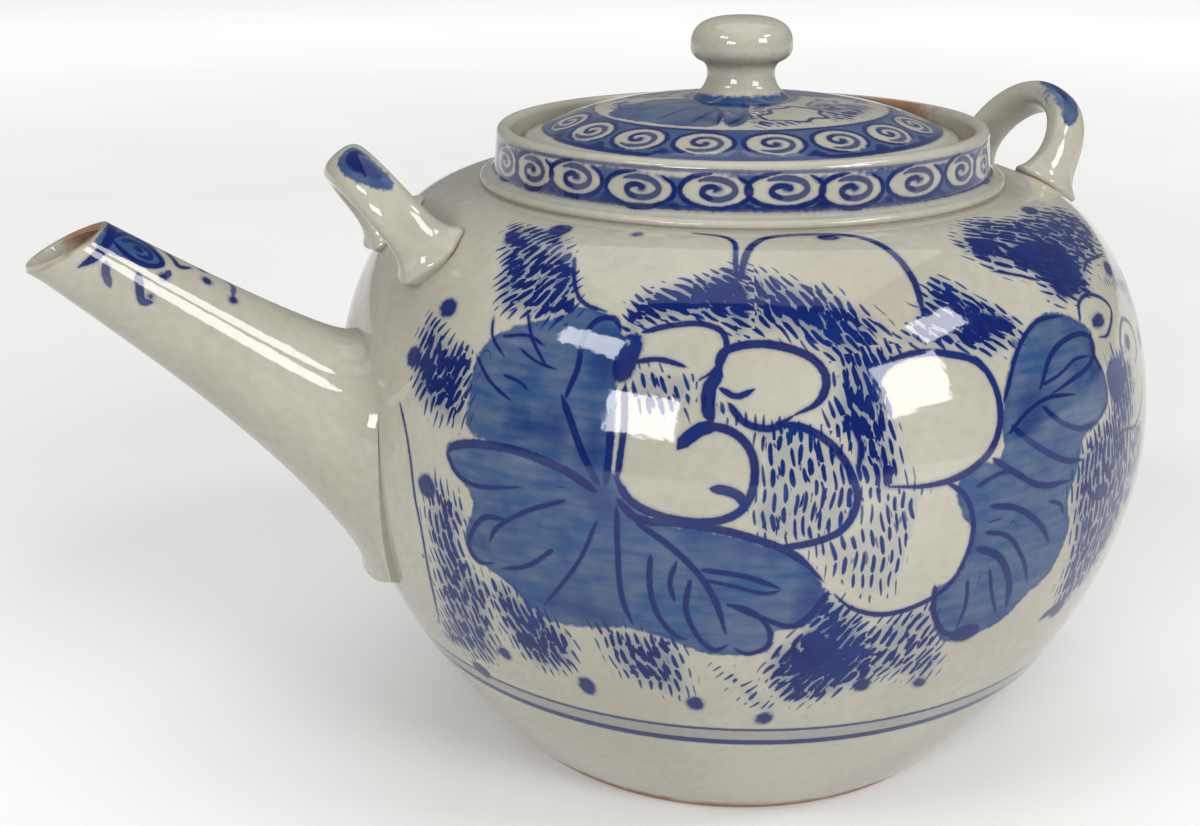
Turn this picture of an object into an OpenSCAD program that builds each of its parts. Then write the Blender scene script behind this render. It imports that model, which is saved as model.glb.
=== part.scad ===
// Lidded porcelain teapot with a straight spout and two lugs for a bail handle.
// Millimetres. Z is up, the foot stands on z = 0 and the spout points along -X.
// Origin: the pot's turning axis where it meets the table.

/* [Show] */
// Which sub-part to draw

/* [Body] */
// Widest diameter of the belly
body_diameter = 140; // [110:1:180]
// Height of the widest point
belly_height = 59; // [45:0.5:75]
// Height at which the shoulder meets the neck
shoulder_height = 98; // [80:0.2:125]
// Thickness of the body wall
body_wall = 3.6; // [2.5:0.1:5]
// Thickness of the floor
floor_thickness = 4; // [3:0.5:7]
// Diameter of the foot where it stands
foot_diameter = 85.2; // [65:0.2:105]
// Height of the foot ring
foot_height = 3; // [2:0.5:6]
// Radial width of the foot ring
foot_width = 5.5; // [3:0.5:10]

/* [Neck] */
// Outer diameter of the neck at the rim
neck_diameter = 82.2; // [65:0.2:96]
// Height of the neck above the shoulder
neck_height = 9.3; // [7:0.1:16]
// Thickness of the neck wall
neck_wall = 2.4; // [1.8:0.1:4]
// How far the ring at the foot of the neck stands out
neck_ring = 3; // [1:0.25:5]
// Depth of the ledge below the rim
ledge_depth = 4.1; // [2.5:0.1:7]
// How far the ledge reaches in from the neck wall
ledge_reach = 5; // [3:0.5:8]
// Thickness of the ledge
ledge_thickness = 2.8; // [2:0.2:5]

/* [Lid] */
// Gap between lid edge and neck wall
lid_gap = 2; // [0.8:0.1:3]
// Thickness of the lid edge where it rests
lid_edge = 1.4; // [1:0.1:3]
// Rise of the lid from its edge to its crown
lid_rise = 6.6; // [3:0.2:12]
// Thickness of the lid
lid_thickness = 3; // [2:0.2:5]
// Depth of the ring under the lid
flange_depth = 6; // [3:0.5:12]
// Gap between that ring and the ledge
flange_gap = 1; // [0.5:0.1:2]
// Diameter of the knob
knob_diameter = 17; // [11:0.5:26]
// Height of the knob above the lid crown
knob_height = 13.3; // [9:0.1:22]

/* [Spout] */
// Distance of the mouth's centre from the pot's axis
spout_reach = 109.35; // [92:0.25:140]
// Height of the mouth's centre
spout_mouth_height = 95.4; // [75:0.2:120]
// Slope of the spout above the horizontal, degrees
spout_slope = 38.6; // [30:0.1:50]
// Outer diameter at the mouth
spout_mouth = 12.1; // [9:0.1:18]
// Outer diameter where the spout enters the body
spout_root = 26.4; // [20:0.2:36]
// Wall thickness at the mouth
spout_wall = 1.5; // [1.2:0.1:3]
// How far the mouth is cut off the square, degrees
mouth_cut = 24; // [0:1:40]
// Diameter of each straining hole
strainer_hole = 4.4; // [3:0.1:6]

/* [Lugs] */
// Distance between the two legs of a lug, centre to centre
lug_span = 23; // [16:0.5:32]
// Height of a lug along its legs
lug_height = 15.8; // [14:0.1:30]
// Width of the strap
lug_width = 7.5; // [5:0.25:11]
// Thickness of the strap
lug_thickness = 4.8; // [3:0.2:7]
// Lean of the front lug above the horizontal, degrees
front_lug_lean = 52.5; // [40:0.5:75]
// Lean of the rear lug above the horizontal, degrees
rear_lug_lean = 60; // [40:0.5:75]
// Where the front lug stands, as a share of the way from the belly up to the shoulder
front_lug_station = 0.84; // [0.6:0.01:0.92]
// Where the rear lug stands, in the same way
rear_lug_station = 0.9; // [0.6:0.01:0.94]
// Diameter of the pressed clay at the foot of a leg
lug_pad = 12.6; // [9:0.2:16]

/* [Hidden] */
$fn = 96;
belly = body_diameter / 2;
foot = foot_diameter / 2;
neck = neck_diameter / 2;
shoulder = neck + neck_ring;
neck_inner = neck - neck_wall;
rim_height = shoulder_height + neck_height;
seat_height = rim_height - ledge_depth;
ledge_inner = neck_inner - ledge_reach;
lid_radius = neck_inner - lid_gap;
lid_edge_height = seat_height + lid_edge;
crown_height = lid_edge_height + lid_rise;
flange_outer = ledge_inner - flange_gap;
floor_height = foot_height + floor_thickness;

// Radius of the body's outside at a height
function lower_radius(z) = foot + (belly - foot) * (1 - pow(1 - z / belly_height, 1.9));
function rise(z) = min((z - belly_height) / (shoulder_height - belly_height), 1);
function swell(t) = 1 - pow(1 - pow(t, 1.9), 1 / 2.2);
function upper_radius(z) = belly - (belly - shoulder) * swell(rise(z));
function outside(z) = z < belly_height ? lower_radius(z) : upper_radius(z);

// Heights of the outline, closer together on the tight shoulder
heights = concat(
  [for (i = [0 : 11]) foot_height + (belly_height - foot_height) * i / 12],
  [for (i = [0 : 18]) belly_height + (shoulder_height - belly_height) * sin(90 * i / 18)]
);
outline = [for (z = heights) [outside(z), z]];

// Outward normal of the outline
function slope(z) = (outside(z + 0.05) - outside(z - 0.05)) / 0.1;
function inside_point(z) = [
  outside(z) - body_wall / sqrt(1 + pow(slope(z), 2)),
  z + body_wall * slope(z) / sqrt(1 + pow(slope(z), 2))
];
inner_heights = [for (i = [0 : 24]) floor_height + 1.5 + (shoulder_height - 0.15 - floor_height - 1.5) * sin(90 * i / 24)];
inner_line = [for (z = inner_heights) inside_point(z)];
inner_kept = [for (p = inner_line) if (p[1] > floor_height + 0.4 && p[1] < shoulder_height - 0.4 && p[0] > neck_inner + 0.05) p];

// Spout: distance down its axis from the mouth, and its radius there
entry = (spout_reach - belly) / cos(spout_slope);
tip_radius = spout_mouth / 2;
root_radius = spout_root / 2;
function spout_radius(u) = tip_radius + (root_radius - tip_radius) * (0.62 * u / entry + 0.38 * pow(u / entry, 3.2));
function spout_bore(u) = spout_radius(u) - spout_wall - 1.4 * u / entry;

// Lugs: height and reach of the legs' centre line at the body's surface
function lug_z(station) = belly_height + (shoulder_height - belly_height) * station;
function lug_r(station) = sqrt(pow(outside(lug_z(station)), 2) - pow(lug_span / 2, 2));

// Solid body, used to trim what is stuck on to it
module body_solid() {
  rotate_extrude()
    polygon(concat([[0, foot_height]], outline, [[0, shoulder_height]]));
}

module at_spout() {
  translate([-spout_reach, 0, spout_mouth_height])
    rotate([0, 90 + spout_slope, 0])
      children();
}

// Cutter that opens everything beyond the slanted mouth
module mouth_cutter() {
  at_spout()
    rotate([0, mouth_cut, 0])
      translate([0, 0, -20])
        cylinder(h = 20, r = 30);
}

module strainer_holes() {
  at_spout() {
    translate([0, 0, entry - 16])
      cylinder(h = 30, d = strainer_hole);
    for (a = [0 : 60 : 300])
      rotate([0, 0, a])
        translate([strainer_hole * 1.55, 0, entry - 16])
          cylinder(h = 30, d = strainer_hole);
  }
}

// The thrown belly, open at the neck, with the straining holes behind the spout
module body_shell() {
  color([0.80, 0.80, 0.75])
    difference() {
      rotate_extrude()
        polygon(concat(
          [[0, foot_height]],
          outline,
          [[neck_inner, shoulder_height], [neck_inner, shoulder_height - body_wall]],
          [for (i = [len(inner_kept) - 1 : -1 : 0]) inner_kept[i]],
          [[inner_kept[0][0] - 4, floor_height], [0, floor_height]]
        ));
      strainer_holes();
    }
}

// Low turned ring that the pot stands on
module foot_ring() {
  color([0.78, 0.74, 0.64])
    rotate_extrude()
      polygon([
        [foot - foot_width, foot_height],
        [foot - foot_width + 0.8, 0.4],
        [foot - foot_width + 1.2, 0],
        [foot - 0.5, 0],
        [foot, 0.5],
        [outside(foot_height), foot_height]
      ]);
}

// Upright neck with a ring at its foot and a rounded rim
module neck_collar() {
  half = neck_wall / 2;
  color([0.70, 0.74, 0.80])
    rotate_extrude()
      polygon(concat(
        [
          [neck_inner, shoulder_height],
          [shoulder, shoulder_height],
          [shoulder - 0.1, shoulder_height + 0.8],
          [shoulder - 0.7, shoulder_height + 1.4],
          [neck + 0.9, shoulder_height + 2],
          [neck + 0.3, shoulder_height + 3.2],
          [neck, shoulder_height + 5]
        ],
        [for (a = [0 : 20 : 180]) [neck - half + half * cos(a), rim_height - half + half * sin(a)]]
      ));
}

// Ledge inside the neck that carries the lid
module lid_ledge() {
  color([0.74, 0.66, 0.58])
    rotate_extrude()
      polygon([
        [neck_inner, seat_height],
        [ledge_inner + 0.5, seat_height],
        [ledge_inner, seat_height - 0.5],
        [ledge_inner, seat_height - ledge_thickness],
        [ledge_inner + 1, seat_height - ledge_thickness - 0.6],
        [neck_inner, seat_height - ledge_thickness - 0.6]
      ]);
}

// Straight tapering spout, flaring where it is stuck to the body
module spout() {
  color([0.80, 0.80, 0.75])
    difference() {
      at_spout()
        rotate_extrude()
          polygon(concat(
            [for (i = [-1 : 11]) let (u = entry * i / 8) [spout_radius(max(u, 0)), u]],
            [for (i = [11 : -1 : -1]) let (u = entry * i / 8) [spout_bore(max(u, 0)), u]]
          ));
      body_solid();
      mouth_cutter();
    }
}

// Arched strap on two legs, standing square to the shoulder
module strap_section() {
  w = lug_width / 2;
  t = lug_thickness / 2;
  polygon([for (a = [0 : 22.5 : 337.5])
    [t * sign(cos(a)) * pow(abs(cos(a)), 0.7), w * sign(sin(a)) * pow(abs(sin(a)), 0.7)]]);
}

module lug(lean, station) {
  half = lug_span / 2;
  leg = lug_height - half;
  difference() {
    translate([-lug_r(station), 0, lug_z(station)])
      rotate([0, lean - 90, 0]) {
        translate([0, 0, leg])
          rotate([90, 0, 90])
            rotate_extrude(angle = 180)
              translate([half, 0])
                strap_section();
        for (side = [-1, 1]) {
          translate([0, side * half, -6])
            rotate([0, 0, 90])
              linear_extrude(height = leg + 6)
                strap_section();
          translate([0, side * half, -2.5])
            cylinder(h = 4.2, d1 = lug_pad, d2 = lug_pad - 2);
          translate([0, side * half, 1.7])
            cylinder(h = 2.6, d1 = lug_pad - 2, d2 = lug_thickness);
        }
      }
    body_solid();
  }
}

module front_lug() {
  color([0.78, 0.78, 0.73])
    lug(front_lug_lean, front_lug_station);
}

module rear_lug() {
  color([0.78, 0.78, 0.73])
    rotate([0, 0, 180])
      lug(rear_lug_lean, rear_lug_station);
}

// Height of the lid's upper face at a radius
function dome(r) = crown_height - lid_rise * pow(r / lid_radius, 3.2);
dome_line = [for (i = [0 : 14]) let (r = (lid_radius - 0.5) * sin(90 * i / 14)) [r, dome(r)]];

module lid_outside() {
  rotate_extrude()
    polygon(concat(
      dome_line,
      [[lid_radius, lid_edge_height - 0.3], [lid_radius, seat_height + 0.3]],
      [[lid_radius - 0.4, seat_height], [0, seat_height]]
    ));
}

// Domed lid that drops into the neck and rests on the ledge
module lid_dome() {
  color([0.78, 0.80, 0.80])
    rotate_extrude()
      polygon(concat(
        dome_line,
        [[lid_radius, lid_edge_height - 0.3], [lid_radius, seat_height + 0.3]],
        [[lid_radius - 0.4, seat_height], [flange_outer - 3.2, seat_height]],
        [for (i = [12 : -1 : 0]) let (r = (flange_outer - 3.4) * i / 12) [r, dome(r) - lid_thickness]]
      ));
}

// Ring under the lid that keeps it central in the ledge
module lid_flange() {
  color([0.76, 0.72, 0.64])
    rotate_extrude()
      polygon([
        [flange_outer - 3, seat_height],
        [flange_outer - 2.6, seat_height - flange_depth + 0.4],
        [flange_outer - 2.2, seat_height - flange_depth],
        [flange_outer - 0.8, seat_height - flange_depth],
        [flange_outer - 0.4, seat_height - flange_depth + 0.4],
        [flange_outer, seat_height]
      ]);
}

// Mushroom knob on a waisted stem
module lid_knob() {
  k = knob_diameter / 2;
  h = knob_height;
  base = crown_height;
  color([0.82, 0.82, 0.78])
    difference() {
      rotate_extrude()
        polygon([
          [0, base - 1],
          [k * 1.0, base - 1],
          [k * 0.92, base + h * 0.03],
          [k * 0.78, base + h * 0.11],
          [k * 0.69, base + h * 0.19],
          [k * 0.66, base + h * 0.28],
          [k * 0.67, base + h * 0.37],
          [k * 0.74, base + h * 0.435],
          [k * 0.88, base + h * 0.48],
          [k * 0.96, base + h * 0.53],
          [k, base + h * 0.6],
          [k, base + h * 0.67],
          [k * 0.97, base + h * 0.75],
          [k * 0.87, base + h * 0.85],
          [k * 0.70, base + h * 0.93],
          [k * 0.45, base + h * 0.98],
          [k * 0.2, base + h],
          [0, base + h]
        ]);
      lid_outside();
    }
}

body_shell();
foot_ring();
neck_collar();
lid_ledge();
spout();
front_lug();
rear_lug();
lid_dome();
lid_flange();
lid_knob();
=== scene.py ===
import math

import bpy
import numpy as np
from mathutils import Matrix, Vector


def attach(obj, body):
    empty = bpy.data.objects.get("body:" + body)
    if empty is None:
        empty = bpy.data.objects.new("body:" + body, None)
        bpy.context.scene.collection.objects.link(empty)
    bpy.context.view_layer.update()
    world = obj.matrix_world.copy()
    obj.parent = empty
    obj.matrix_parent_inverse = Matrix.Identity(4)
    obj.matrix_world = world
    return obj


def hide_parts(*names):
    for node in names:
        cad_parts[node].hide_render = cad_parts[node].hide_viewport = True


# Blue and white porcelain teapot with a drop-in lid: the looks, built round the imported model.
# Lengths in the shape functions are millimetres. The spout points along -X.
# Places on the painted belly are (degrees round from the spout, millimetres up the clay from the foot).
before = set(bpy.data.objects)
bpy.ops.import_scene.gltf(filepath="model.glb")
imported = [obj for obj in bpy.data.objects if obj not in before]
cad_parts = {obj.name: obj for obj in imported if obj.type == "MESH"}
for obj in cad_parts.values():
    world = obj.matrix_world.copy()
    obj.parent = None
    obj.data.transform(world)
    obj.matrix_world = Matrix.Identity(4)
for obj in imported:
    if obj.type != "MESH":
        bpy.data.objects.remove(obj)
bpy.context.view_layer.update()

MM = 0.001

# ---------------------------------------------------------------- sizes, in millimetres
BELLY, BELLY_UP = 70.0, 59.0
FOOT, FOOT_UP = 42.6, 3.0
SHOULDER, SHOULDER_UP = 44.1, 98.0
WALL, FLOOR_UP = 3.6, 7.0
NECK, NECK_INNER, RIM_UP = 41.1, 38.7, 107.3
SEAT_UP, LID, CROWN = 103.2, 36.7, 111.2
LID_RISE, LID_WALL, FLANGE = 6.6, 3.0, 32.7
SPOUT_MOUTH = Vector((-109.35, 0, 95.4))
SPOUT_SLOPE, MOUTH_CUT = math.radians(38.6), math.radians(24)
SPOUT_TIP, SPOUT_ROOT, SPOUT_LONG = 6.05, 13.2, 50.35
SPOUT_STEPS, SPOUT_ROWS, BORE_ROWS = 128, 96, 24
# How far down its axis the spout's root is cut, how its root widens, and a straining hole's width
ROOT_CUT, FILLET, HOLE = 69.0, 2.6, 4.4
LUG_HALF, LUG_LEG = 11.5, 4.3
LUG_STATIONS, LUG_LEANS = (0.84, 0.9), (52.5, 60)


def belly_radius(z):
    """Outside radius of the belly at a height."""
    if z < BELLY_UP:
        return FOOT + (BELLY - FOOT) * (1 - (1 - z / BELLY_UP) ** 1.9)
    t = min((z - BELLY_UP) / (SHOULDER_UP - BELLY_UP), 1.0)
    return SHOULDER + (BELLY - SHOULDER) * (1 - t ** 1.9) ** (1 / 2.2)


def lid_height(r):
    """Upper face of the lid at a radius."""
    return CROWN - LID_RISE * (r / LID) ** 3.2


# The belly's outline in fine steps, and how far up the clay each step is
_climb = np.sin(np.linspace(0, math.pi / 2, 3000))
FINE_UP = FOOT_UP + (SHOULDER_UP - FOOT_UP) * _climb
FINE_R = np.array([belly_radius(z) for z in FINE_UP])
CLAY_START = math.hypot(belly_radius(FOOT_UP) - FOOT, FOOT_UP)
CLAY = CLAY_START + np.concatenate([[0], np.cumsum(np.hypot(np.diff(FINE_R), np.diff(FINE_UP)))])


def on_clay(up):
    """(radius, height) of the belly's outside, that far up the clay."""
    return float(np.interp(up, CLAY, FINE_R)), float(np.interp(up, CLAY, FINE_UP))


def wall_at(height):
    """Radius of the belly's outside at many heights."""
    return np.interp(height, FINE_UP, FINE_R)


# ---------------------------------------------------------------- modelling by hand
def deselect():
    bpy.ops.object.select_all(action="DESELECT")


def start_point(name, x, z):
    """A single vertex to pull an outline from."""
    deselect()
    bpy.ops.mesh.primitive_circle_add(vertices=3, radius=0.0004, location=(x * MM, 0, z * MM))
    piece = bpy.context.active_object
    piece.name = piece.data.name = name
    bpy.ops.object.transform_apply(location=True, rotation=True, scale=True)
    bpy.ops.object.mode_set(mode="EDIT")
    bpy.ops.mesh.select_all(action="SELECT")
    bpy.ops.mesh.merge(type="CENTER")
    return piece


def turned(name, outline, steps):
    """Pulls an outline of (radius, height) and spins it about the pot's axis."""
    piece = start_point(name, *outline[0])
    for (r0, z0), (r1, z1) in zip(outline, outline[1:]):
        bpy.ops.mesh.extrude_region_move(
            TRANSFORM_OT_translate={"value": ((r1 - r0) * MM, 0, (z1 - z0) * MM)})
    bpy.ops.mesh.select_all(action="SELECT")
    bpy.ops.mesh.spin(steps=steps, angle=2 * math.pi, center=(0, 0, 0), axis=(0, 0, 1))
    bpy.ops.mesh.select_all(action="SELECT")
    bpy.ops.mesh.remove_doubles(threshold=0.00001)
    bpy.ops.mesh.normals_make_consistent(inside=False)
    bpy.ops.object.mode_set(mode="OBJECT")
    bpy.ops.object.shade_smooth_by_angle(angle=math.radians(50))
    return piece


def tube(name, rings):
    """Pulls a ring of clay from place to place. Every ring is a list of points."""
    deselect()
    bpy.ops.mesh.primitive_circle_add(vertices=len(rings[0]), radius=0.01)
    piece = bpy.context.active_object
    piece.name = piece.data.name = name
    bpy.ops.object.mode_set(mode="EDIT")
    bpy.ops.mesh.select_all(action="SELECT")
    for _ in rings[1:]:
        bpy.ops.mesh.extrude_region_move(TRANSFORM_OT_translate={"value": (0, 0, 0.001)})
    bpy.ops.object.mode_set(mode="OBJECT")
    places = [Vector(p) * MM for ring in rings for p in ring]
    for vertex, place in zip(piece.data.vertices, places):
        vertex.co = place
    return piece


def finish_mesh(piece, close_ends=False):
    """Closes, cleans and smooths a pulled shape."""
    deselect()
    piece.select_set(True)
    bpy.context.view_layer.objects.active = piece
    bpy.ops.object.mode_set(mode="EDIT")
    bpy.ops.mesh.select_all(action="SELECT")
    bpy.ops.mesh.remove_doubles(threshold=0.00001)
    if close_ends:
        bpy.ops.mesh.select_all(action="DESELECT")
        bpy.ops.mesh.select_non_manifold()
        bpy.ops.mesh.edge_face_add()
        bpy.ops.mesh.select_all(action="SELECT")
    bpy.ops.mesh.normals_make_consistent(inside=False)
    bpy.ops.object.mode_set(mode="OBJECT")
    bpy.ops.object.shade_smooth_by_angle(angle=math.radians(60))
    return piece


def place_mesh(piece, turn):
    """Turns a piece's mesh about the pot's axis, leaving its object at the origin."""
    piece.data.transform(Matrix.Rotation(turn, 4, "Z"))
    return piece


# ---------------------------------------------------------------- painting: laid flat, stroke by stroke
LAYERS = 5
# Where a vertex is laid that takes no paint
AWAY = -500.0


def curve(points, closed=False, steps=9):
    """A smooth line through a few points."""
    p = np.array(points, float)
    p = np.vstack([p[-1], p, p[0], p[1]]) if closed else np.vstack([2 * p[0] - p[1], p, 2 * p[-1] - p[-2]])
    t = np.linspace(0, 1, steps, endpoint=False)[:, None]
    out = []
    for a, b, c, d in zip(p, p[1:], p[2:], p[3:]):
        out.append(0.5 * (2 * b + (c - a) * t + (2 * a - 5 * b + 4 * c - d) * t ** 2
                          + (3 * b - a - 3 * c + d) * t ** 3))
    out.append(p[-2][None])
    return np.vstack(out)


class Skin:
    """A painted surface laid flat. unit is the millimetres in one step along, at each vertex."""

    def __init__(self, piece, along, up, unit, reach=1.5, turning=True):
        self.piece, self.reach = piece, reach
        self.lay(along, up, unit, turning)
        count = len(along)
        self.layers = [np.tile([9.0, -9.0, 0.0], (count, 1)) for _ in range(LAYERS)]
        self.fills = np.tile([-9.0, -9.0, -9.0], (count, 1))
        self.crowd, self.field, self.frames = np.zeros(count), np.zeros(count, int), [(0.0, 0.0, 1.0, 0.0)]
        # How browned each vertex is: fire flash, and painted crevice shade at the straps' feet.
        self.brown_amount = np.zeros(count)

    def lay(self, along, up, unit, turning=True):
        """Says how the surface lies flat; turning is for one that is counted round in degrees."""
        self.along, self.up, self.unit, self.turning = along, up, unit, turning

    def near(self, path, margin):
        """Vertices near a line, with how far off it, how far along it and how far past its end they are."""
        side = margin / np.maximum(self.unit, 0.05)
        along = self.along
        if self.turning:
            middle = (path[:, 0].min() + path[:, 0].max()) / 2
            along = (along - middle + 180) % 360 - 180 + middle
        inside = ((self.up > path[:, 1].min() - margin) & (self.up < path[:, 1].max() + margin)
                  & (along > path[:, 0].min() - side) & (along < path[:, 0].max() + side))
        where = np.nonzero(inside)[0]
        if not len(where):
            return where, None, None, None, None
        x = (path[None, :, 0] - along[where, None]) * self.unit[where, None]
        y = path[None, :, 1] - self.up[where, None]
        dx, dy = np.diff(x, axis=1), np.diff(y, axis=1)
        length = np.maximum(np.hypot(dx, dy), 1e-6)
        ux, uy = dx / length, dy / length
        x0, y0 = x[:, :-1], y[:, :-1]
        go = -(x0 * ux + y0 * uy)
        held = np.clip(go, 0, length)
        away = np.hypot(x0 + ux * held, y0 + uy * held)
        best = away.argmin(axis=1)
        row = np.arange(len(where))
        across = (ux * -y0 - uy * -x0)[row, best]
        share = (best + held[row, best] / length[row, best]) / dx.shape[1]
        past = np.where(best == 0, np.maximum(-go[row, 0], 0), 0)
        past = past + np.where(best == dx.shape[1] - 1, np.maximum((go - length)[row, -1], 0), 0)
        crossing = ((y[:, :-1] > 0) != (y[:, 1:] > 0)) & (
            x0 - y0 * dx / np.where(np.abs(dy) < 1e-9, 1e-9, dy) > 0)
        inner = crossing.sum(axis=1) % 2 == 1
        return where, across, share, past, (away[row, best], inner)

    def stroke(self, points, width=0.8, shade=1.0, ends=(0.6, 0.25), steps=9):
        """One pull of the brush. ends are the shares of the width at its start and finish."""
        path = curve(points, steps=steps)
        where, across, share, past, _ = self.near(path, self.reach + width)
        if not len(where):
            return
        bulge = np.minimum(1, np.minimum(ends[0] + share * 6, ends[1] + (1 - share) * 4))
        half = width / 2 * bulge - past
        keep = (np.abs(across) < self.reach + width / 2) & (past < self.reach)
        where, across, half = where[keep], across[keep], half[keep]
        for layer in self.layers:
            if (layer[where, 1] > -5).sum() <= 0.02 * len(where):
                break
        closer = np.abs(across) < np.abs(layer[where, 0])
        layer[where[closer]] = np.stack([across, half, np.full(len(half), shade)], 1)[closer]

    def fill(self, points, kind, smooth=True):
        """A closed patch: kind 0 is pale wash, 1 is full-strength colour, 2 is wash left to pool deeper."""
        path = curve(points, closed=True) if smooth else np.array(points + points[:1], float)
        where, _, _, _, found = self.near(path, 2.5)
        if len(where):
            away, inner = found
            depth = np.where(inner, away, -away)
            self.fills[where, kind] = np.maximum(self.fills[where, kind], depth)

    def clear(self, points, smooth=True):
        """Keeps the wash out of a shape."""
        path = curve(points, closed=True) if smooth else np.array(points + points[:1], float)
        where, _, _, _, found = self.near(path, 1.5)
        if len(where):
            away, inner = found
            self.fills[where, 0] = np.minimum(self.fills[where, 0], np.where(inner, -away, away))

    def dot(self, x, y, wide, high, lean=0.0):
        """A round touch of full colour. wide is in steps along, high in millimetres."""
        turn = np.radians(np.arange(0, 360, 40))
        c, s = np.cos(turn), np.sin(turn)
        self.fill([(x + wide * (a + lean * b), y + high * b) for a, b in zip(c, s)], 1)

    def hatch(self, points, lean, thick, feather=4.0):
        """A field of short dashes. lean is degrees from upright, thick how crowded they are at its heart."""
        path = curve(points, closed=True)
        where, _, _, _, found = self.near(path, 1.0)
        if not len(where):
            return
        away, inner = found
        depth = np.where(inner, away, -away)
        middle = path.mean(axis=0)
        unit = self.unit[np.abs(self.up - middle[1]).argmin()]
        amount = np.clip((depth + 0.8) / feather, 0, 1) ** 0.8 * thick
        more = amount > self.crowd[where]
        self.crowd[where[more]], self.field[where[more]] = amount[more], len(self.frames)
        self.frames.append((middle[0], middle[1], unit, math.radians(lean)))

    def spare(self, points):
        """Keeps dashes out of a shape."""
        path = curve(points, closed=True)
        where, _, _, _, found = self.near(path, 0.1)
        if len(where):
            self.crowd[where[found[1]]] = 0

    def hatching(self):
        """Place of each face corner in its face's field of dashes, and how crowded they are."""
        mesh = self.piece.data
        corners, totals = np.empty(len(mesh.loops), int), np.empty(len(mesh.polygons), int)
        mesh.loops.foreach_get("vertex_index", corners)
        mesh.polygons.foreach_get("loop_total", totals)
        face = np.repeat(np.arange(len(totals)), totals)
        lead = corners[np.lexsort((self.crowd[corners], face))[np.cumsum(totals) - 1]]
        x0, y0, unit, lean = np.array(self.frames)[np.repeat(self.field[lead], totals)].T
        x, y = self.along[corners] - x0, self.up[corners] - y0
        if self.turning:
            x = (x + 180) % 360 - 180
        x, held = x * unit, (self.crowd[corners] > 0)
        turned_x, turned_y = x * np.cos(lean) + y * np.sin(lean), y * np.cos(lean) - x * np.sin(lean)
        return np.stack([turned_x, turned_y, self.crowd[corners] * held], 1)

    def keep(self):
        """Stores what was painted on the mesh."""
        data = [(f"brush_{i}", layer, "POINT") for i, layer in enumerate(self.layers)]
        data += [("fills", self.fills, "POINT"), ("hatching", self.hatching(), "CORNER")]
        for name, values, domain in data:
            made = self.piece.data.attributes.new(name, "FLOAT_VECTOR", domain)
            made.data.foreach_set("vector", values.astype(np.float32).ravel())
        made = self.piece.data.attributes.new("brown_amount", "FLOAT", "POINT")
        made.data.foreach_set("value", self.brown_amount.astype(np.float32))


def points_of(piece):
    co = np.empty(len(piece.data.vertices) * 3, np.float32)
    piece.data.vertices.foreach_get("co", co)
    return co.reshape(-1, 3).astype(float) / MM


# ---------------------------------------------------------------- materials
class Value:
    """A socket that can be reckoned with."""

    def __init__(self, mix, socket):
        self.mix, self.socket = mix, socket

    def reckon(self, operation, *others, first=None):
        a = self if first is None else first
        return self.mix.node("Math", {"operation": operation},
                             {0: a, **{i + 1: o for i, o in enumerate(others)}})

    def __add__(self, other):
        return self.reckon("ADD", other)

    def __sub__(self, other):
        return self.reckon("SUBTRACT", other)

    def __mul__(self, other):
        return self.reckon("MULTIPLY", other)

    def __truediv__(self, other):
        return self.reckon("DIVIDE", other)

    __radd__, __rmul__ = __add__, __mul__

    def __rsub__(self, other):
        return self.reckon("SUBTRACT", self, first=other)

    def __abs__(self):
        return self.reckon("ABSOLUTE")

    def floor(self):
        return self.reckon("FLOOR")

    def most(self, other):
        return self.reckon("MAXIMUM", other)

    def over(self, low, high):
        """0 below low, 1 above high, eased between."""
        settings = {"interpolation_type": "SMOOTHSTEP"}
        return self.mix.node("MapRange", settings, {"Value": self, "From Min": low, "From Max": high})


class Glaze:
    """One material, mixed node by node."""

    def __init__(self, name):
        self.material = bpy.data.materials.new(name)
        self.material.use_nodes = True
        self.tree = self.material.node_tree
        self.tree.nodes.clear()

    def outputs(self, kind, settings=None, sockets=None):
        """Adds a node, sets it and feeds its sockets. Gives all it puts out."""
        made = self.tree.nodes.new("ShaderNode" + kind)
        for key, value in (settings or {}).items():
            setattr(made, key, value)
        for key, value in (sockets or {}).items():
            if isinstance(value, Value):
                self.tree.links.new(value.socket, made.inputs[key])
            else:
                made.inputs[key].default_value = value
        return [Value(self, socket) for socket in made.outputs]

    def node(self, kind, settings=None, sockets=None, out=0):
        """Adds a node and gives one of its outputs."""
        return self.outputs(kind, settings, sockets)[out]

    def place(self, scale=1.0, stretch=(1, 1, 1)):
        """Object coordinates in millimetres, stretched as asked."""
        coords = self.node("TexCoord", out=3)
        size = tuple(scale * s / MM for s in stretch)
        return self.node("VectorMath", {"operation": "MULTIPLY"}, {0: coords, 1: size})

    def noise(self, scale, detail=2.0, stretch=(1, 1, 1)):
        """Soft noise about 0.5, with scale in features per millimetre."""
        return self.node("TexNoise", {}, {"Vector": self.place(scale, stretch), "Scale": 1.0,
                                          "Detail": detail})

    def blend(self, amount, first, second):
        colours = {0: amount, 6: first, 7: second}
        return self.node("Mix", {"data_type": "RGBA"}, colours, out=2)

    def parts(self, name):
        """The three numbers of a painted attribute."""
        read = self.node("Attribute", {"attribute_name": name}, out=1)
        return self.outputs("SeparateXYZ", {}, {0: read})

    def finish(self, colour, roughness, bumps, strength=0.3, depth=0.0003, **constants):
        """Bumps, gloss and colour on one surface."""
        bump = self.node("Bump", {}, {"Height": bumps, "Strength": strength, "Distance": depth})
        sockets = {"Base Color": colour, "Roughness": roughness, "Normal": bump}
        sockets.update({k.replace("_", " "): v for k, v in constants.items()})
        surface = self.node("BsdfPrincipled", {}, sockets)
        self.outputs("OutputMaterial", {}, {0: surface})
        return self.material


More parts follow.
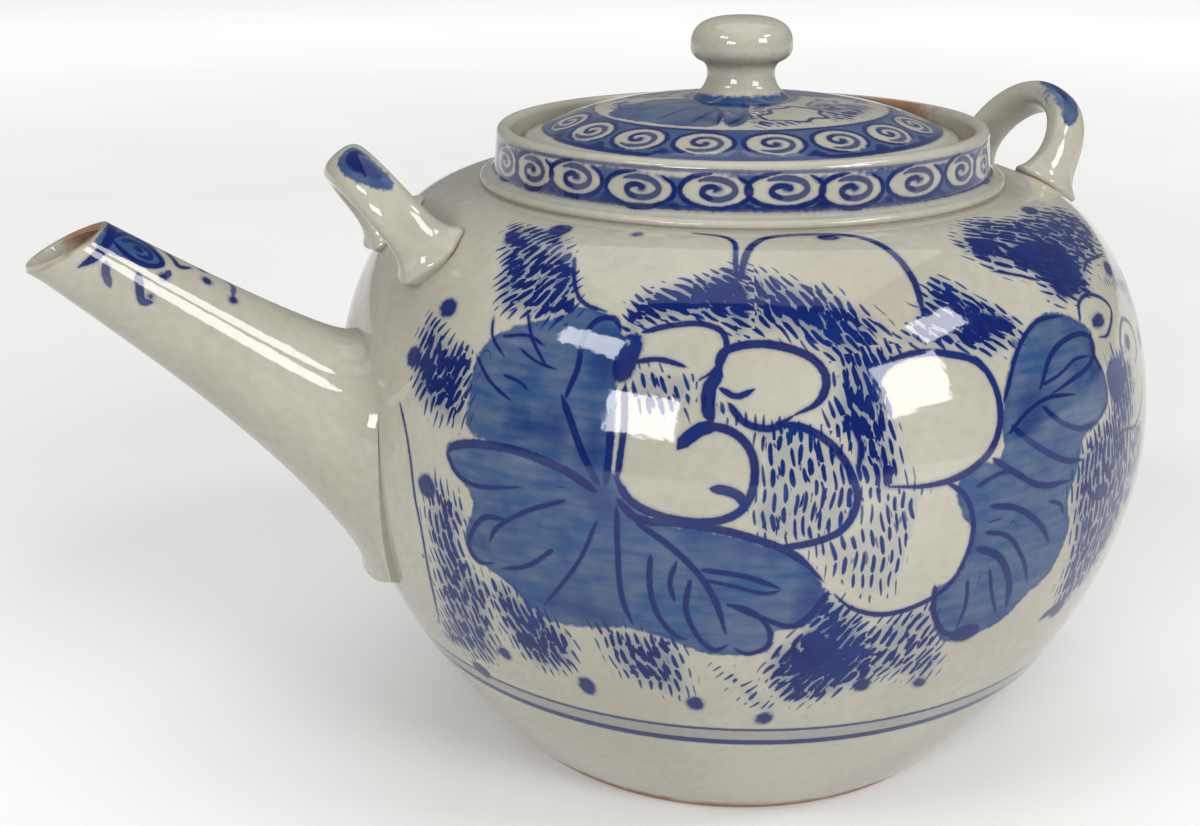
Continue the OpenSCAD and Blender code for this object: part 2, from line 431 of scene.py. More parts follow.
BODY_LIGHT, BODY_SHADE = (0.325, 0.312, 0.262, 1), (0.27, 0.262, 0.213, 1)
WARM_SHADE = (0.26, 0.228, 0.165, 1)
WASH, WASH_DEEP = (0.0165, 0.050, 0.128, 1), (0.004, 0.018, 0.095, 1)
INK, INK_PALE = (0.0005, 0.0060, 0.072, 1), (0.002, 0.019, 0.110, 1)
# Brown of the fire's flash, also laid as painted crevice shade under the straps' feet.
BURNT_AND_CREVICE_SHADE = (0.17, 0.075, 0.028, 1)
SPECK = (0.03, 0.018, 0.008, 1)


def clay_colour(mix):
    """Greyish glaze with warm patches and fine iron specks."""
    broad, fine = mix.noise(0.035, 3), mix.noise(0.6, 4)
    shade = (broad * 0.65 + fine * 0.35).over(0.35, 0.68)
    colour = mix.blend(shade, BODY_LIGHT, BODY_SHADE)
    warm = mix.noise(0.022, 2).over(0.55, 0.75) * 0.35
    colour = mix.blend(warm, colour, WARM_SHADE)
    off, lot = mix.outputs("TexVoronoi", {}, {"Vector": mix.place(0.11), "Scale": 1.0})[:2]
    size = mix.node("SeparateColor", {}, {0: lot}).over(0.5, 1.0) * 0.045
    spot = (size - off).over(-0.008, 0.008)
    return mix.blend(spot * 0.75, colour, SPECK)


def surface_bumps(mix):
    """Orange peel and the faint rings the thrower's fingers left."""
    return mix.noise(0.35, 2) * 0.25 + mix.noise(0.05, 2) * 1.2 + mix.noise(1.3, 2) * 0.035 \
        + mix.noise(0.55, 1, stretch=(0.03, 0.03, 1)) * 0.2


def dashes(mix):
    """Short brush touches side by side, running together where they crowd."""
    x, y, crowd = mix.parts("hatching")
    x = x + (mix.noise(0.14, 1) - 0.5) * 2.6
    y = y + (mix.noise(0.2, 1) - 0.5) * 2.0
    column = (x / 1.3).floor()
    lot = mix.node("TexWhiteNoise", {"noise_dimensions": "1D"}, {"W": column})
    y = y / 3.3 + lot * 0.6
    row = y.floor()
    chance, other = [
        mix.node("TexWhiteNoise", {"noise_dimensions": "2D"},
                 {"Vector": mix.node("CombineXYZ", {}, {0: column + i, 1: row})})
        for i in (0, 31.7)]
    tilt = (y - row - 0.5) * (other - 0.5) * 0.5
    across = abs(x / 1.3 - column - 0.5 + (chance - 0.5) * 0.35 + tilt) * 1.3
    down = abs(y - row - 0.5 + (other - 0.5) * 0.3) * 2.0
    long = 0.5 + other * 0.35 + crowd * 0.3
    taper = down / long * (down / long)
    wide = (0.07 + crowd * 0.37) * (0.75 + chance * 0.4) * (1 - taper * taper)
    there = (crowd * 1.7 + 0.12 - chance).over(-0.02, 0.1)
    marks = (wide - across).over(-0.08, 0.12) * there * crowd.over(0.02, 0.2)
    streaks = mix.node("TexNoise", {"noise_dimensions": "2D"},
                       {"Vector": mix.node("CombineXYZ", {}, {0: x * 0.8, 1: y}), "Scale": 1.0,
                        "Detail": 2.0})
    blots = (crowd + (streaks - 0.5) * 2.6).over(1.0, 1.16) * crowd.over(0.5, 0.7)
    return marks.most(blots), crowd


def painting(mix, colour, softness=0.12, hatched=True):
    """Underglaze blue over the glaze colour: wash, dashes, patches and lines."""
    grain = mix.noise(1.1, 3) - 0.5
    cloud = mix.noise(0.16, 3)
    wash, solid, deep = mix.parts("fills")
    pale = (wash + grain * 1.1).over(-0.25, 0.35)
    pooled = 1 - wash.over(0.1, 1.3)
    streak = mix.noise(0.5, 2, stretch=(0.3, 0.3, 1.7))
    colour = mix.blend(pale * (0.58 + cloud * 0.36 + streak * 0.34), colour, WASH)
    sunk = (deep + (cloud - 0.5) * 3).over(-0.6, 3.2)
    colour = mix.blend(pale * (pooled * 0.3 + cloud.over(0.52, 0.75) * 0.3 + sunk * 0.7), colour, WASH_DEEP)
    lines = None
    halo = None
    for i in range(LAYERS):
        off, half, shade = mix.parts(f"brush_{i}")
        edge = half - abs(off) + grain * 0.24
        line = edge.over(-softness, softness * 1.2) * shade
        around = (edge + 0.55).over(0, 0.7) * shade
        lines = line if lines is None else lines.most(line)
        halo = around if halo is None else halo.most(around)
    blot = (solid + grain * 0.8).over(-0.2, 0.35)
    halo = halo.most((solid + 0.5).over(-0.2, 0.6))
    lines = lines.most(blot)
    colour = mix.blend(halo * 0.35, colour, WASH)
    if hatched:
        dash, crowd = dashes(mix)
        colour = mix.blend(crowd.over(0.3, 1.15) * (0.25 + cloud * 0.6), colour, WASH)
        colour = mix.blend(dash * (0.72 + crowd * 0.4), colour, INK_PALE)
        lines = lines.most(dash * crowd.over(0.35, 1.0))
    ink = mix.blend(cloud.over(0.45, 0.72) * 0.55, INK, INK_PALE)
    return mix.blend(lines * (0.86 + cloud * 0.2), colour, ink)


def painted_glaze(name, hatched=True):
    mix = Glaze(name)
    # brown_amount browns the glaze: fire flash on the foot, the neck's inside, the spout and the lid's edge,
    # and painted shade in the crevice under the straps' feet.
    brown_amount = mix.node("Attribute", {"attribute_name": "brown_amount"}, out=2)
    burnt_and_crevice_shade = (brown_amount + (mix.noise(0.3, 3) - 0.5) * 0.9).over(0.25, 0.95)
    clay = mix.blend(burnt_and_crevice_shade * 0.85, clay_colour(mix), BURNT_AND_CREVICE_SHADE)
    colour = painting(mix, clay, hatched=hatched)
    rough = 0.02 + mix.noise(0.25, 3) * 0.06
    return mix.finish(colour, rough, surface_bumps(mix), IOR=1.44, Specular_IOR_Level=0.39)


def bare_clay(name):
    """Unglazed ring and ledge, flashed red-brown by the fire."""
    mix = Glaze(name)
    brown_amount = (mix.noise(0.05, 3) * 0.7 + mix.noise(0.4, 3) * 0.3).over(0.38, 0.62)
    colour = mix.blend(brown_amount, (0.46, 0.36, 0.24, 1), (0.30, 0.14, 0.06, 1))
    colour = mix.blend(mix.noise(1.4, 2).over(0.55, 0.7) * 0.4, colour, (0.55, 0.49, 0.38, 1))
    grit = mix.noise(1.8, 3)
    return mix.finish(colour, 0.62 + grit * 0.25, grit, strength=0.4, depth=0.0002)


# ---------------------------------------------------------------- the painting's parts
def painted_side(skin, start):
    """Peonies, leaves and dashes on one side of the belly, counted round from start degrees."""
    def at(points):
        moved = []
        for x, y in points:
            pull = math.sin(math.pi * min(max((y - 91) / 26, 0), 1))
            moved.append((start + x + (63 - x) * 0.08 * pull, y - 1.9 * pull))
        return moved

    washes = [
        [(48.5, 75), (49.6, 82), (49.2, 90), (48.6, 96), (46.8, 99.5), (44, 100.8), (41, 101.2), (38, 99),
         (34.5, 97.5), (31.5, 95.5), (29.6, 92), (29, 87.5), (29.3, 83), (30, 79), (36, 78.5), (42, 77.5),
         (47, 75.3)],
        [(49, 74.5), (44, 76.8), (38, 78.4), (31.5, 78.2), (27.3, 76.6), (26.6, 74.8), (28.6, 72),
         (30.8, 70),
         (31.2, 67.5), (30, 64.5), (29.9, 61.5), (31.8, 59.2), (35.5, 57), (38.5, 53.8), (41.5, 51.9),
         (46.5, 52.2),
         (51, 53.3), (56, 52.2), (60.5, 50), (65, 49.9), (68, 51), (68.6, 54.3), (71.8, 55.2), (74, 57.8),
         (74.2, 61), (71, 65.8), (66, 68.6), (60, 70.2), (53.5, 70.6), (50.5, 72.3)],
        [(92, 75), (95.8, 78), (96.2, 82), (97.8, 88), (101.5, 92.8), (106.5, 95.8), (111, 96.9),
         (114.6, 95),
         (116.3, 91.5), (115.4, 88.5), (116.8, 84.5), (116.6, 80.3), (113.8, 77.8), (110.2, 76.3),
         (109, 72.5),
         (107, 68), (108, 63.5), (106, 56.5), (102.5, 54), (99.5, 50.6), (96, 49.2), (92.5, 49),
         (90.2, 49.3),
         (88.3, 53), (87.4, 59.3), (90, 60.8), (91.6, 65), (91.2, 70)],
    ]
    washes += [
        [(46.5, 77), (49.5, 77.5), (52, 74), (54.5, 70.5), (51, 69.5), (46.5, 71.5), (45, 74.5)],
        [(89.5, 75), (93, 77.5), (95.5, 75), (93.5, 69), (90.5, 69.5)],
    ]
    for shape in washes:
        skin.fill(at(shape), 0)

    patches = [
        [(48.5, 97), (50.8, 97.5), (51.4, 94), (50.6, 90), (48.8, 89.5), (48, 93)],
        [(62.4, 103.5), (63.5, 106.5), (65, 104), (64.3, 101.8), (63, 101.5)],
        [(103.5, 109), (106, 110.8), (110, 110.3), (109.5, 108.6), (105.5, 107.8)],
        [(110, 107.5), (114, 108.5), (118, 108.6), (122, 108), (126, 105.5), (126.5, 102), (123.5, 99.3),
         (119.5, 98), (116, 98.8), (115.5, 102), (112.5, 105)],
        [(117.5, 83.5), (119.5, 85.5), (122.5, 85), (123.6, 82), (121.5, 79), (118.5, 79.3)],
        [(95, 97.7), (98, 99.2), (101.5, 98.6), (103.3, 96.8), (100, 96), (97, 95.5)],
        [(71.5, 53), (73.5, 54.3), (75.5, 52), (77.2, 48.8), (75, 47.3), (72.8, 49.8)],
        [(20.5, 111), (23, 111.6), (24, 110), (22, 109)],
    ]
    for shape in patches:
        skin.fill(at(shape), 1)

    dots = [
        (31.6, 113, 2.2, 1.9), (21.2, 95.3, 1.8, 1.5), (17.6, 86.8, 1.6, 1.6), (23.3, 68.6, 1.7, 1.9),
        (45.7, 114.6, 1.3, 0.8), (78.7, 114.8, 2.1, 1.2), (24.2, 33.4, 1.9, 1.9), (32, 41.6, 1.1, 1.5),
        (44.5, 39.4, 1.3, 2.1), (59.2, 39, 1.2, 1.7), (68.3, 35.9, 1.2, 1.6, 0.3), (80.5, 42.7, 1.25, 1.5),
        (89, 41, 1.1, 1.2, -0.3), (93.5, 50, 2.4, 1.7), (112, 47, 1.8, 1.7), (119.5, 91.7, 2.2, 1.1),
        (126.5, 112, 2.6, 1.3), (132.5, 97, 2.2, 1.3), (127.5, 86, 1.3, 1.3), (100.5, 92.6, 0.8, 0.6),
        (110.5, 47.5, 2.0, 1.2, 0.9), (126, 61.5, 1.5, 1.6), (136, 84, 1.5, 1.7), (142, 93, 1.6, 1.4),
        (133, 52, 1.4, 1.6),
    ]
    for x, y, wide, high, *lean in dots:
        skin.dot(x + start, y, wide, high, *lean)

    fields = [
        ([(18.5, 112.5), (24, 114), (30, 114.2), (34.5, 112), (38, 108), (40, 103.5), (41.5, 98.5),
          (38, 97), (32, 97.5),
          (28, 98), (25, 101.5), (22.5, 106)], -33, 0.98, 3.0),
        ([(15.5, 95), (19, 95.5), (23, 92.5), (28, 92), (30, 87), (29.8, 80), (27, 78.2), (21.5, 79),
          (18, 82),
          (16.5, 87)], -20, 1.15, 5),
        ([(23.5, 71.5), (28, 70.5), (31.5, 67), (30.5, 62), (31.5, 58), (34.5, 55.5), (33.5, 50),
          (32.5, 43), (30, 37),
          (25, 35), (18, 36.5), (17.4, 40.5), (20, 46), (21, 52), (21.8, 58), (21.5, 63)], 12, 0.95, 5),
        ([(32.5, 58), (38, 56), (41.5, 53.5), (44.5, 50), (44, 43), (40, 40), (36, 40.5), (33.5, 45),
          (32, 51)],
          16, 1.1, 4.5),
        ([(46, 53.5), (52, 54.5), (58, 53), (59.5, 46), (59, 40), (55, 39.5), (49, 43.5)], 14, 0.95, 5),
        ([(61, 47.5), (64.5, 47.5), (70.8, 38.5), (69, 35.8), (65.5, 38.5)], -38, 0.6, 3),
        ([(67, 50.5), (70.5, 54.5), (74, 61), (77, 59.5), (80, 55.5), (82, 50), (83, 43.5), (79.5, 42),
          (77, 40),
          (71.5, 38.5), (68, 43)], -34, 1.25, 5),
        ([(79, 55), (85, 57.5), (88, 58), (90, 52), (92, 44), (89, 40.5), (85, 42.5), (80, 43.5), (78, 49)],
          -27, 0.8, 3.5),
        ([(48, 104), (53, 106.5), (58, 108), (62, 109.8), (66, 109.2), (67, 102), (65, 97.6), (62.5, 97),
          (60, 99.8),
          (52, 98.5), (48, 95.5)], 62, 1.3, 4.0),
        ([(64, 109.5), (71, 108), (76, 106.8), (81, 103.8), (85, 99), (82, 95), (78, 92), (74.5, 92.5),
          (72, 95.5),
          (69, 97), (64, 97.5)], 34, 1.15, 5),
        ([(73.5, 96.5), (80, 99), (85.5, 97), (85, 91), (83.5, 84), (83.5, 75.5), (79, 73), (76.5, 77),
          (74.5, 81.5),
          (72.5, 85), (73.8, 91)], 10, 1.05, 5),
        ([(60, 91.5), (62, 88), (66, 86.3), (70, 86), (75.5, 83), (78.5, 77), (77, 71), (72, 68.2),
          (67, 68.5),
          (65, 72), (65.8, 77), (66, 81), (63.5, 84.5), (60.5, 85.5), (58.5, 89)], 2, 0.72, 2.5),
        ([(59, 91), (56, 92), (53, 93), (50.5, 91.5), (50.5, 87), (54, 85), (58, 85)], 25, 0.7, 2.5),
        ([(71, 68.5), (76, 70.5), (80, 75.5), (85.5, 75.5), (85.5, 68), (83, 60.5), (80, 58.5), (76, 60.5)],
          3, 0.62, 3),
        ([(81, 95.5), (86, 99), (90, 104), (94, 107), (99, 104), (105, 98.5), (104.5, 94), (100, 91.5),
          (95.5, 90.5),
          (91, 93)], 48, 1.2, 4.5),
        ([(100, 111), (106, 115.5), (113, 116), (119, 114), (128, 113.5), (141, 111.5), (148, 106),
          (142, 101),
          (129, 99.5), (123, 94), (117, 95.5), (112, 98), (112, 102.5), (105, 105)], 58, 1.08, 4.5),
        ([(108.5, 75), (113, 78.5), (117, 80), (118.5, 87), (123, 88), (128, 82), (126, 74), (124, 69),
          (126, 63),
          (123.5, 55), (117.5, 48), (111.5, 46), (108.5, 52), (108.5, 60), (107, 66), (106.5, 71)], 2, 0.98,
          4.5),
        ([(118, 71), (124, 74), (130, 73), (131, 66), (127, 62), (122, 64)], 0, 0.8, 3),
        ([(130, 98), (136, 99), (143, 97), (150, 92), (148, 84), (143, 80), (138, 85), (134, 92)], -20, 0.9,
         4),
    ]
    for shape, lean, thick, feather in fields:
        skin.hatch(at(shape), lean, thick, feather)

    bare = [
        [(50.5, 97.2), (54, 99.1), (58, 99.8), (61, 98.8), (61.9, 96), (60.8, 92.8), (57, 92), (53, 93),
         (50.8, 93)],
        [(61.2, 91), (61.6, 95), (65, 96.6), (69, 96.3), (72.4, 94.3), (73.8, 91), (72.8, 88), (70, 86.5),
         (64, 87)],
        [(80.8, 90), (83, 93), (86, 93.8), (90, 93.3), (94, 90.8), (95.7, 87), (95.7, 82.5), (94, 78.7),
         (90, 76.3),
         (86, 76), (83.5, 79), (82.5, 84)],
        [(88, 75.3), (90.3, 73), (91.5, 69), (91.1, 64.5), (89.3, 60), (86, 57.6), (83, 60), (83.5, 67),
         (85, 73)],
        [(50, 76.5), (52, 73.6), (56, 71.8), (61, 71.6), (64.1, 73.4), (65.4, 76.8), (65.2, 80.5),
         (63.4, 83.2),
         (60.5, 84.2), (55, 85), (50.5, 84)],
        [(116.5, 93.5), (119, 96.2), (123, 96.9), (125.7, 95), (125.2, 92), (121, 89.5), (118, 90)],
    ]
    for shape in bare:
        skin.spare(at(shape))

    sunken = [
        [(43, 99), (47, 99), (49.5, 95), (49.5, 88), (46.5, 87), (45, 92)],
        [(46, 78), (50, 78), (53, 70), (49, 69), (44, 74)],
        [(33, 80), (38, 79), (45, 78.5), (44, 86), (38, 84)],
        [(97, 78), (102, 79), (106, 84), (101, 88), (98, 84)],
        [(40, 56), (44, 52), (51, 52), (50, 57), (45, 58)],
        [(68, 53), (74, 57), (74.5, 62), (71, 63.5), (69.5, 58)],
        [(56, 71), (64, 69.5), (70, 66.5), (64, 66), (58, 68)],
        [(114, 92), (117, 88), (117, 81), (113.5, 80), (113, 86)],
        [(31, 61), (35, 59), (34, 64), (31.5, 66)],
        [(44, 78), (49, 76), (49.5, 84), (46, 86)],
        [(91, 53), (95, 49.5), (100, 51), (97, 54.5)],
    ]
    for shape in sunken:
        skin.fill(at(shape), 2)

    petals = [
        (0.7, [(55, 116.6), (60, 115.9), (62.6, 114), (62.9, 110), (63.2, 106)]),
        (1.0, [(63.6, 107), (65, 112.3), (68, 115.3), (73, 116.3), (80, 116), (85, 114.3), (88.5, 111),
               (90.4, 106),
               (90, 101), (89.3, 97)]),
        (0.8, [(50.8, 98), (54, 99.3), (58, 100), (61.2, 99), (62.1, 96), (61, 92.5), (59, 90.5)]),
        (1.1, [(61.3, 91.5), (61.6, 95.2), (65, 96.8), (69, 96.5), (72.6, 94.5), (74, 91), (73, 87.8),
               (70, 86)]),
        (1.1, [(50, 76.5), (52, 73.4), (56, 71.6), (61, 71.4), (64.3, 73.2), (65.6, 76.8), (65.4, 80.7),
               (63.5, 83.5),
               (60.5, 84.4), (58.3, 83.2), (57.4, 81.4)]),
        (1.3, [(61, 76), (62.8, 75.8), (64.2, 74.9), (65, 73)]),
        (0.9, [(50.2, 89), (50.6, 84), (50.4, 79), (50.2, 76)]),
        (1.0, [(68, 85), (71.5, 84.2), (74.5, 81.7), (76.5, 78), (77.2, 74), (75.8, 70.5), (73, 68.8),
               (69, 68),
               (66, 69)]),
        (1.0, [(79.5, 89), (82, 92.5), (86, 94), (90, 93.5), (94, 91), (95.9, 87), (95.9, 82.5), (94, 78.5),
               (90, 76),
               (85.5, 75.3), (80.5, 75.8)]),
        (0.8, [(88, 75.5), (90.5, 73), (91.7, 69), (91.3, 64.5), (89.5, 60), (86, 57.3), (81.5, 56.3),
               (77.5, 57.8),
               (75, 60.5)]),
        (1.7, [(61.4, 92), (60.3, 89.5), (60.2, 87), (60.8, 84.8)]),
        (1.7, [(61, 84.5), (59.4, 83.9), (58, 82.6), (57, 81.2)]),
        (0.9, [(62.6, 87.5), (64.5, 85), (67.5, 84.3), (70, 86)]),
        (0.8, [(61.5, 89.5), (63.5, 88.5), (65.5, 89.5)]),
        (0.7, [(50.8, 92.8), (54, 93.6), (57.5, 92.5)]),
        (0.7, [(77.3, 78), (77.6, 82), (76.5, 85)]),
        (0.6, [(116, 93.5), (119, 96.5), (123, 97.2), (126, 95), (125.5, 92), (121, 89.2), (118, 89.5)]),
        (0.5, [(114, 102.3), (110, 104), (105, 105.6)]),
        (0.5, [(127, 101), (131, 102), (136, 101.5), (141, 100.8)]),
        (0.6, [(124, 83), (124.5, 87), (128, 89.5), (131.5, 87.5), (131.8, 84), (129, 82)]),
        (0.5, [(16.5, 79.5), (18.5, 76), (20, 71.5), (20.8, 66), (21.5, 60), (21, 52), (20, 46),
               (18.5, 41)]),
        (0.6, [(36.5, 109), (38.5, 104.5), (41, 101.8), (45, 100.8)]),
        (0.5, [(118, 73.5), (122, 74), (126, 73), (130, 75), (133, 79)]),
    ]
    veins = [
        (1.1, [(50.3, 73.5), (53, 71), (58, 70.9), (64, 69.8), (70, 67), (73.8, 62.5)]),
        (1.2, [(47.8, 74.2), (44, 76.4), (38, 77.9), (32, 77.6), (28.2, 76.4), (26.8, 75)]),
        (0.7, [(26.8, 75), (28.5, 72.4), (32, 71.4), (38, 72.8)]),
        (0.7, [(44, 72.2), (39, 69.5), (35, 66), (33.5, 63)]),
        (0.8, [(36, 67.5), (33, 66.9), (31, 64), (30.2, 61.2), (31.6, 59.2), (34, 59.8)]),
        (0.7, [(42.5, 64.5), (39, 61), (35, 59.2)]),
        (0.6, [(48, 70), (46, 64), (43, 58.5), (40.5, 54.5)]),
        (0.8, [(50.3, 72.5), (50.5, 66), (50.8, 59), (52, 54)]),
        (0.9, [(52.5, 70.6), (56.5, 67.5), (59.8, 63.5), (61.8, 59), (63, 53.5)]),
        (0.8, [(54.3, 66), (54.2, 61), (55, 56.5), (57, 53), (58.5, 52.5)]),
        (0.8, [(58.8, 62.5), (58.3, 58), (59.5, 53.5), (61.5, 50.8), (63.4, 52)]),
        (0.7, [(63, 59), (66, 57.8), (68, 54.5), (67.8, 51.7), (65.5, 50.2), (63.8, 51.5)]),
        (0.8, [(60, 64.3), (65, 63.5), (69, 61.6)]),
        (0.6, [(60, 62.8), (63.5, 62), (67, 60.9), (69, 61.4)]),
        (0.8, [(63.5, 58.8), (67, 56.8), (70.5, 55.3), (72.5, 57.5)]),
        (1.0, [(74.3, 60.8), (72.5, 57), (70.5, 54.8)]),
        (0.7, [(57, 59), (56.5, 62), (57.3, 65.5)]),
        (1.0, [(48, 75.3), (46, 79), (44, 83.5), (42.3, 87)]),
        (1.0, [(48.9, 75.5), (49.1, 80), (48.8, 86)]),
        (0.8, [(43, 86.5), (44, 91), (43, 96), (44, 99.3), (46.5, 99.8), (48, 97.5)]),
        (0.5, [(28, 97), (30, 93.5), (33.5, 90.5)]),
        (0.5, [(31.5, 94), (35, 95), (38.5, 93.5)]),
        (0.5, [(33, 99), (36, 94.5), (40, 90)]),
        (0.5, [(29, 90), (32, 86.8), (36, 84.5)]),
        (0.4, [(35, 92.5), (38, 90.8), (41.5, 90)]),
        (0.5, [(34, 88), (36.5, 87.5), (38, 86.5)]),
        (0.7, [(96.8, 85), (99.5, 90), (103, 93.5), (108, 96), (113.5, 95.5)]),
        (0.8, [(103, 85.5), (106, 89.5), (110, 91.2), (114.5, 91), (116.1, 89), (114, 86.5), (109, 85.3),
               (104.5, 84.3)]),
        (0.5, [(103.5, 86), (107, 86.7), (111, 88), (114.5, 87.6)]),
        (0.6, [(97, 80.5), (100.5, 83), (104.5, 84), (109.5, 83.2)]),
        (0.8, [(103, 83), (106, 80), (110, 78), (114, 78)]),
        (0.9, [(97.5, 81.5), (101, 78), (106, 74.5), (110, 73.3)]),
        (0.9, [(94.5, 77.5), (98, 74.5), (102, 71.8), (107.5, 71)]),
        (0.6, [(92, 74), (96, 75.3), (99.5, 74)]),
        (0.9, [(94, 70.8), (98, 69.5), (102, 66), (104.5, 62)]),
        (0.7, [(93.5, 67), (97, 65.5), (100, 61), (102, 56)]),
        (1.1, [(92.5, 64.8), (96, 62.5), (98.5, 57.5), (99.3, 52.5)]),
        (0.6, [(94.8, 61), (96, 56.5), (98, 51.5)]),
        (0.6, [(91.8, 60), (92.3, 55.5), (91.8, 51)]),
        (0.9, [(87.4, 60), (88, 55), (90.5, 50.7), (94, 50.7)]),
        (0.7, [(116.3, 91), (115.4, 88), (116.8, 84), (116.5, 80), (113, 77.5)]),
        (0.6, [(103.5, 69), (105.5, 68), (106.5, 66)]),
    ]
    for width, line in petals + veins:
        skin.stroke(at(line), width * 1.12)


def curl(skin, x, y, wide, high):
    """One cell of the running band: a comma rolled up in a white eye."""
    def ring(start, end, first, last, steps=12):
        turns = [math.radians(start + (end - start) * i / steps) for i in range(steps + 1)]
        sizes = [first + (last - first) * i / steps for i in range(steps + 1)]
        return [(x + wide * r * math.cos(a), y + high * r * math.sin(a)) for a, r in zip(turns, sizes)]

    skin.clear(ring(0, 330, 1, 1, 11))
    skin.dot(x + 0.08 * wide, y + 0.10 * high, 0.17 * wide, 0.25 * high)
    skin.stroke(ring(70, 260, 0.20, 0.50), 0.9, ends=(0.9, 0.9), steps=4)
    skin.stroke(ring(255, 490, 0.50, 0.76), 0.95, shade=0.85, ends=(0.9, 0.4), steps=4)
    skin.stroke(ring(95, 410, 1.06, 1.10), 0.8, ends=(0.5, 0.5), steps=4)


def lid_side(skin, way):
    """Leaf, blossom and dashes beside the knob; way is 1 or -1 for the two halves."""
    def at(points):
        return [(x * way, y * way) for x, y in points]

    skin.fill(at([(-24, -1), (-21.5, 3), (-16, 4.5), (-11, 3.5), (-8.5, 0), (-8.2, -8), (-10, -13.5),
                  (-13.5, -18.5),
                  (-18, -15.5), (-22, -9)]), 0)
    skin.fill(at([(-12, -20), (-8, -18.5), (-3.5, -9), (0, 1), (-3, 3), (-8.2, -6), (-10.5, -13)]), 0)
    skin.fill(at([(-11, -18), (-8, -17), (-4, -9), (-1.5, 0), (-4, 0), (-8, -8)]), 2)
    for width, line in [
        (0.9, [(-8.4, 1), (-8.4, -5), (-9.8, -12.5), (-13, -18)]),
        (0.6, [(-9.5, -3), (-14, -1), (-20, -2.5)]),
        (0.6, [(-9, -7), (-14, -7.5), (-19.5, -10)]), (0.6, [(-10, -11), (-13, -13), (-16.5, -15.5)]),
        (0.9, [(-11.5, -19), (-7.5, -16), (-3.5, -8), (-1, 0)]),
        (0.7, [(-7, -18), (-5.5, -13), (-2.5, -8)]),
        (0.8, [(-5.2, -19.6), (-5.3, -17), (-3, -16.2), (-1.6, -13.6), (1, -13.5), (2.8, -12.4), (4.6, -14),
               (6.2, -16), (5, -18), (5, -20.4), (2.4, -20.4), (0.4, -21.8), (-2.4, -20.6), (-5.2, -19.6)]),
        (0.5, [(6, -12), (9, -9), (14, -8)]), (0.5, [(17, -9), (20, -5), (21.5, 0)]),
    ]:
        skin.stroke(at(line), width)
    for shape, lean, thick in [
        ([(-8, -22), (-4, -23), (1, -22.5), (-2, -20.8), (-5.5, -19.5), (-5.5, -16.8), (-3, -15.8),
          (-1.8, -13), (2, -11.5),
          (0, -7), (-4, -11), (-7, -17)], 30, 1.0),
        ([(5.5, -22.5), (5.8, -17.5), (5, -12), (9, -10), (15, -10), (19, -12), (14, -18), (10, -21)], 55,
         0.85),
        ([(16, -6), (19, -9), (22, -6), (22.5, 0), (20, 4), (17, 0)], 20, 0.7),
    ]:
        skin.hatch(at(shape), lean, thick, 2.5)
    for x, y in ((11, -7), (14, -4), (-13, 9), (-19, 8)):
        skin.dot(x * way, y * way, 0.8, 0.7)


def keep_piece(piece, node, body):
    """Puts a finished piece in place of a node of the frame, on its body."""
    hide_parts(node)
    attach(piece, body)


# ---------------------------------------------------------------- belly
PAINTED_ROWS, PAINTED_STEPS = 124, 560
outer_line = [on_clay(u) for u in np.linspace(CLAY_START, CLAY[-1], PAINTED_ROWS)]
inner_line = []
for z in FLOOR_UP + 2 + (SHOULDER_UP - 0.2 - FLOOR_UP - 2) * np.sin(np.linspace(math.pi / 2, 0, 24)):
    slope = (belly_radius(z + 0.05) - belly_radius(z - 0.05)) / 0.1
    tilt = math.hypot(1, slope)
    r, h = belly_radius(z) - WALL / tilt, z + WALL * slope / tilt
    if NECK_INNER + 0.1 < r and FLOOR_UP + 1 < h < SHOULDER_UP - 1:
        inner_line.append((r, h))
floor_edge = inner_line[-1][0]
belly_line = ([(FOOT - 5.5, FOOT_UP)] + outer_line
              + [(NECK_INNER + 0.4, SHOULDER_UP), (NECK_INNER, SHOULDER_UP - 0.5),
                 (NECK_INNER, SHOULDER_UP - WALL + 0.5),
                 (NECK_INNER + 0.5, SHOULDER_UP - WALL)] + inner_line
              + [(floor_edge - 3, FLOOR_UP + 0.4), (floor_edge - 7, FLOOR_UP), (floor_edge * 0.5, FLOOR_UP),
                 (0, FLOOR_UP)])
belly = turned("belly", [(0, FOOT_UP)] + belly_line, PAINTED_STEPS)

SPOUT_DOWN = Vector((math.cos(SPOUT_SLOPE), 0, -math.sin(SPOUT_SLOPE)))
SPOUT_TOP = Vector((math.sin(SPOUT_SLOPE), 0, math.cos(SPOUT_SLOPE)))
SPOUT_SIDE = Vector((0, -1, 0))


def strain(piece):
    """Cuts the seven straining holes where the spout will stand."""
    entry = (-SPOUT_MOUTH.x - BELLY) / math.cos(SPOUT_SLOPE)
    middle = SPOUT_MOUTH + SPOUT_DOWN * (entry - 1)
    spots = [(0.0, 0.0)] + [(1.55 * HOLE, math.radians(a)) for a in range(0, 360, 60)]
    pins = []
    for reach, turn in spots:
        deselect()
        bpy.ops.mesh.primitive_cylinder_add(
            vertices=40, radius=HOLE / 2 * MM, depth=30 * MM,
            rotation=SPOUT_DOWN.to_track_quat("Z", "Y").to_euler(),
            location=(middle + (SPOUT_TOP * math.cos(turn) + SPOUT_SIDE * math.sin(turn)) * reach) * MM)
        pins.append(bpy.context.active_object)
    for pin in pins:
        pin.select_set(True)
    bpy.ops.object.join()
    pins = bpy.context.active_object
    cut = piece.modifiers.new("straining_holes", "BOOLEAN")
    cut.operation, cut.solver, cut.object = "DIFFERENCE", "EXACT", pins
    bpy.context.view_layer.objects.active = piece
    bpy.ops.object.modifier_apply(modifier="straining_holes")
    bpy.data.objects.remove(pins, do_unlink=True)
    deselect()
    piece.select_set(True)
    bpy.ops.object.shade_smooth_by_angle(angle=math.radians(60))


strain(belly)

